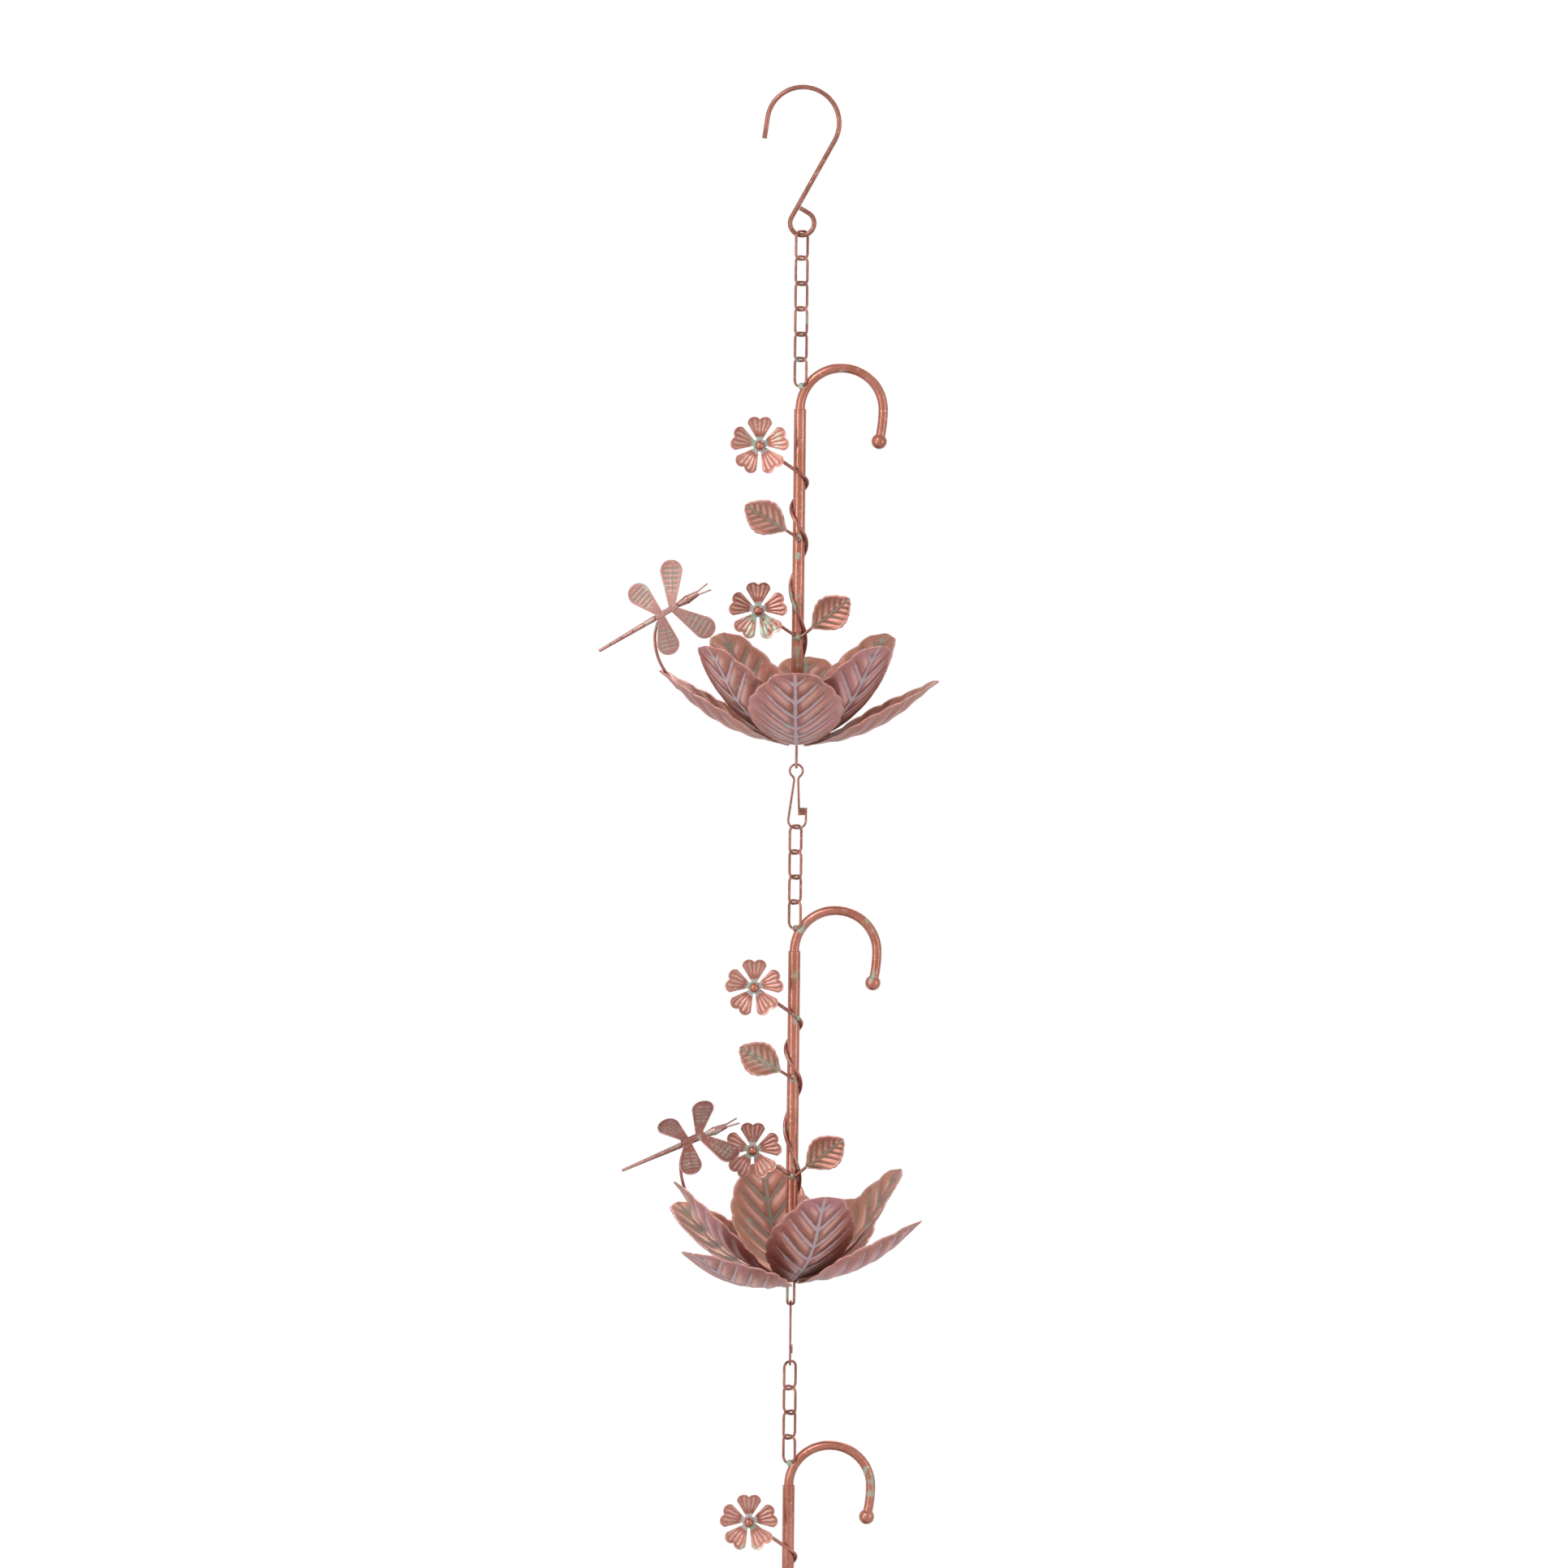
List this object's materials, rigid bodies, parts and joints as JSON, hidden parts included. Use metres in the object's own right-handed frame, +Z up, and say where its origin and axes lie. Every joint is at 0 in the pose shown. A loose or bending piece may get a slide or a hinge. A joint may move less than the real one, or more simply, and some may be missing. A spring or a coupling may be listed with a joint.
{
  "type": "rain chain",
  "caption": "Hanging rain chain: a gutter hook, wire links and upturned umbrellas with leaf cups, crook handles, vines, flowers and dragonflies, which lead roof water down.",
  "frame": {"origin": "inside top of the hook's bend, where it rests on the gutter bar", "axes": "+Z up along the hanging chain, +X to the crooks' side, -Y to the front with the flowers"},
  "size_m": [0.2314, 0.1824, 1.1972],
  "materials": {
    "wire": "antique copper paint with verdigris-green touches",
    "rod": "antique copper paint with verdigris-green touches",
    "vine": "antique copper paint with verdigris-green touches",
    "leaf": "antique copper paint with verdigris-green touches",
    "flower": "antique copper paint with verdigris-green touches",
    "dragonfly": "antique copper paint with verdigris-green touches"
  },
  "bodies": {
    "hook": {"hook": "wire"},
    "chain_1_link_1": {"chain_1_link_1": "wire"},
    "chain_1_link_2": {"chain_1_link_2": "wire"},
    "chain_1_link_3": {"chain_1_link_3": "wire"},
    "chain_1_link_4": {"chain_1_link_4": "wire"},
    "chain_1_link_5": {"chain_1_link_5": "wire"},
    "umbrella_1": {"shaft_1": "rod", "crook_1": "rod", "hanger_link_1": "wire", "lower_eye_1": "wire", "outer_leaves_1": "leaf", "inner_leaves_1": "leaf", "vine_1": "vine", "upper_flower_1": "flower", "lower_flower_1": "flower", "flower_beads_1": "flower", "upper_leaf_1": "leaf", "lower_leaf_1": "leaf", "dragonfly_stem_1": "vine", "dragonfly_body_1": "dragonfly", "dragonfly_wings_1": "dragonfly"},
    "snap_clip_1": {"snap_clip_1": "wire"},
    "chain_2_link_1": {"chain_2_link_1": "wire"},
    "chain_2_link_2": {"chain_2_link_2": "wire"},
    "chain_2_link_3": {"chain_2_link_3": "wire"},
    "umbrella_2": {"shaft_2": "rod", "crook_2": "rod", "hanger_link_2": "wire", "lower_eye_2": "wire", "outer_leaves_2": "leaf", "inner_leaves_2": "leaf", "vine_2": "vine", "upper_flower_2": "flower", "lower_flower_2": "flower", "flower_beads_2": "flower", "upper_leaf_2": "leaf", "lower_leaf_2": "leaf", "dragonfly_stem_2": "vine", "dragonfly_body_2": "dragonfly", "dragonfly_wings_2": "dragonfly"},
    "snap_clip_2": {"snap_clip_2": "wire"},
    "chain_3_link_1": {"chain_3_link_1": "wire"},
    "chain_3_link_2": {"chain_3_link_2": "wire"},
    "chain_3_link_3": {"chain_3_link_3": "wire"},
    "umbrella_3": {"shaft_3": "rod", "crook_3": "rod", "hanger_link_3": "wire", "lower_eye_3": "wire", "outer_leaves_3": "leaf", "inner_leaves_3": "leaf", "vine_3": "vine", "upper_flower_3": "flower", "lower_flower_3": "flower", "flower_beads_3": "flower", "upper_leaf_3": "leaf", "lower_leaf_3": "leaf", "dragonfly_stem_3": "vine", "dragonfly_body_3": "dragonfly", "dragonfly_wings_3": "dragonfly"}
  },
  "joints": [
    {"name": "chain_1_link_1_swing", "type": "hinge", "parent": "hook", "child": "chain_1_link_1", "pos_m": [0, 0, -0.0977], "axis": [1, 0, 0], "range_deg": [-45, 45]},
    {"name": "chain_1_link_2_swing", "type": "hinge", "parent": "chain_1_link_1", "child": "chain_1_link_2", "pos_m": [0, 0, -0.11405], "axis": [0.7071, 0.7071, 0], "range_deg": [-45, 45]},
    {"name": "chain_1_link_3_swing", "type": "hinge", "parent": "chain_1_link_2", "child": "chain_1_link_3", "pos_m": [0, 0, -0.1311], "axis": [0.7071, -0.7071, 0], "range_deg": [-45, 45]},
    {"name": "chain_1_link_4_swing", "type": "hinge", "parent": "chain_1_link_3", "child": "chain_1_link_4", "pos_m": [0, 0, -0.14815], "axis": [0.7071, 0.7071, 0], "range_deg": [-45, 45]},
    {"name": "chain_1_link_5_swing", "type": "hinge", "parent": "chain_1_link_4", "child": "chain_1_link_5", "pos_m": [0, 0, -0.1652], "axis": [0.7071, -0.7071, 0], "range_deg": [-45, 45]},
    {"name": "umbrella_1_swing", "type": "hinge", "parent": "chain_1_link_5", "child": "umbrella_1", "pos_m": [0, 0, -0.18225], "axis": [0.7071, 0.7071, 0], "range_deg": [-45, 45]},
    {"name": "snap_clip_1_swing", "type": "hinge", "parent": "umbrella_1", "child": "snap_clip_1", "pos_m": [0, 0, -0.45729], "axis": [0, 1, 0], "range_deg": [-45, 45]},
    {"name": "chain_2_link_1_swing", "type": "hinge", "parent": "snap_clip_1", "child": "chain_2_link_1", "pos_m": [0, 0, -0.49884], "axis": [-1, 0, 0], "range_deg": [-45, 45]},
    {"name": "chain_2_link_2_swing", "type": "hinge", "parent": "chain_2_link_1", "child": "chain_2_link_2", "pos_m": [0, 0, -0.51604], "axis": [0.7071, 0.7071, 0], "range_deg": [-45, 45]},
    {"name": "chain_2_link_3_swing", "type": "hinge", "parent": "chain_2_link_2", "child": "chain_2_link_3", "pos_m": [0, 0, -0.53309], "axis": [0.7071, -0.7071, 0], "range_deg": [-45, 45]},
    {"name": "umbrella_2_swing", "type": "hinge", "parent": "chain_2_link_3", "child": "umbrella_2", "pos_m": [0, 0, -0.55014], "axis": [0.7071, 0.7071, 0], "range_deg": [-45, 45]},
    {"name": "snap_clip_2_swing", "type": "hinge", "parent": "umbrella_2", "child": "snap_clip_2", "pos_m": [0, 0, -0.82518], "axis": [1, 0, 0], "range_deg": [-45, 45]},
    {"name": "chain_3_link_1_swing", "type": "hinge", "parent": "snap_clip_2", "child": "chain_3_link_1", "pos_m": [0, 0, -0.86673], "axis": [0, 1, 0], "range_deg": [-45, 45]},
    {"name": "chain_3_link_2_swing", "type": "hinge", "parent": "chain_3_link_1", "child": "chain_3_link_2", "pos_m": [0, 0, -0.88393], "axis": [0.7071, 0.7071, 0], "range_deg": [-45, 45]},
    {"name": "chain_3_link_3_swing", "type": "hinge", "parent": "chain_3_link_2", "child": "chain_3_link_3", "pos_m": [0, 0, -0.90098], "axis": [0.7071, -0.7071, 0], "range_deg": [-45, 45]},
    {"name": "umbrella_3_swing", "type": "hinge", "parent": "chain_3_link_3", "child": "umbrella_3", "pos_m": [0, 0, -0.91803], "axis": [0.7071, 0.7071, 0], "range_deg": [-45, 45]}
  ]
}
